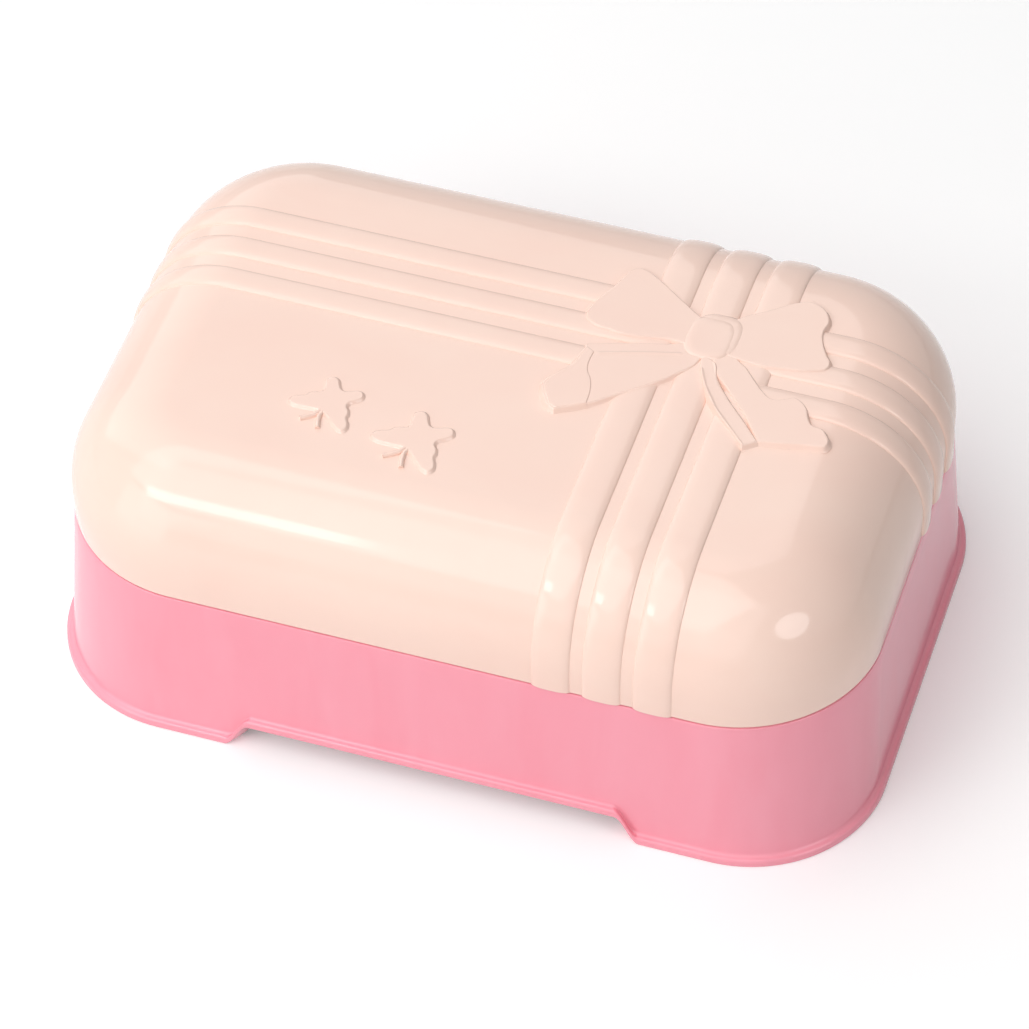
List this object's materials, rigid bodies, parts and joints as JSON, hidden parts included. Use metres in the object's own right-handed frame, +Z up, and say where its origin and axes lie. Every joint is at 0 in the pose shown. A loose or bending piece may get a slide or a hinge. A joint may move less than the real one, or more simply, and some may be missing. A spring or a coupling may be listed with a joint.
{
  "type": "soap box",
  "caption": "Lidded soap box with a domed lid in ribbon-and-bow relief, a lift-out drain tray and a skirted base on an arched foot.",
  "frame": {"origin": "centre of the foot's underside, where the box stands", "axes": "+X along the long side, to the right as seen from the front; +Z up; the front, with the butterflies and the bow's tails, faces -Y"},
  "size_m": [0.1352, 0.0916, 0.0527],
  "materials": {
    "pink_plastic": "satin gloss",
    "cream_plastic": "satin",
    "peach_plastic": "satin gloss"
  },
  "bodies": {
    "base": {"base": "pink_plastic"},
    "drain_tray": {"drain_tray": "cream_plastic"},
    "lid": {"lid": "peach_plastic"}
  },
  "joints": [
    {"name": "lid_lift", "type": "slide", "parent": "base", "child": "lid", "axis": [0, 0, 1], "range_m": [0, 0.06]},
    {"name": "tray_lift", "type": "slide", "parent": "base", "child": "drain_tray", "axis": [0, 0, 1], "range_m": [0, 0.012]}
  ]
}
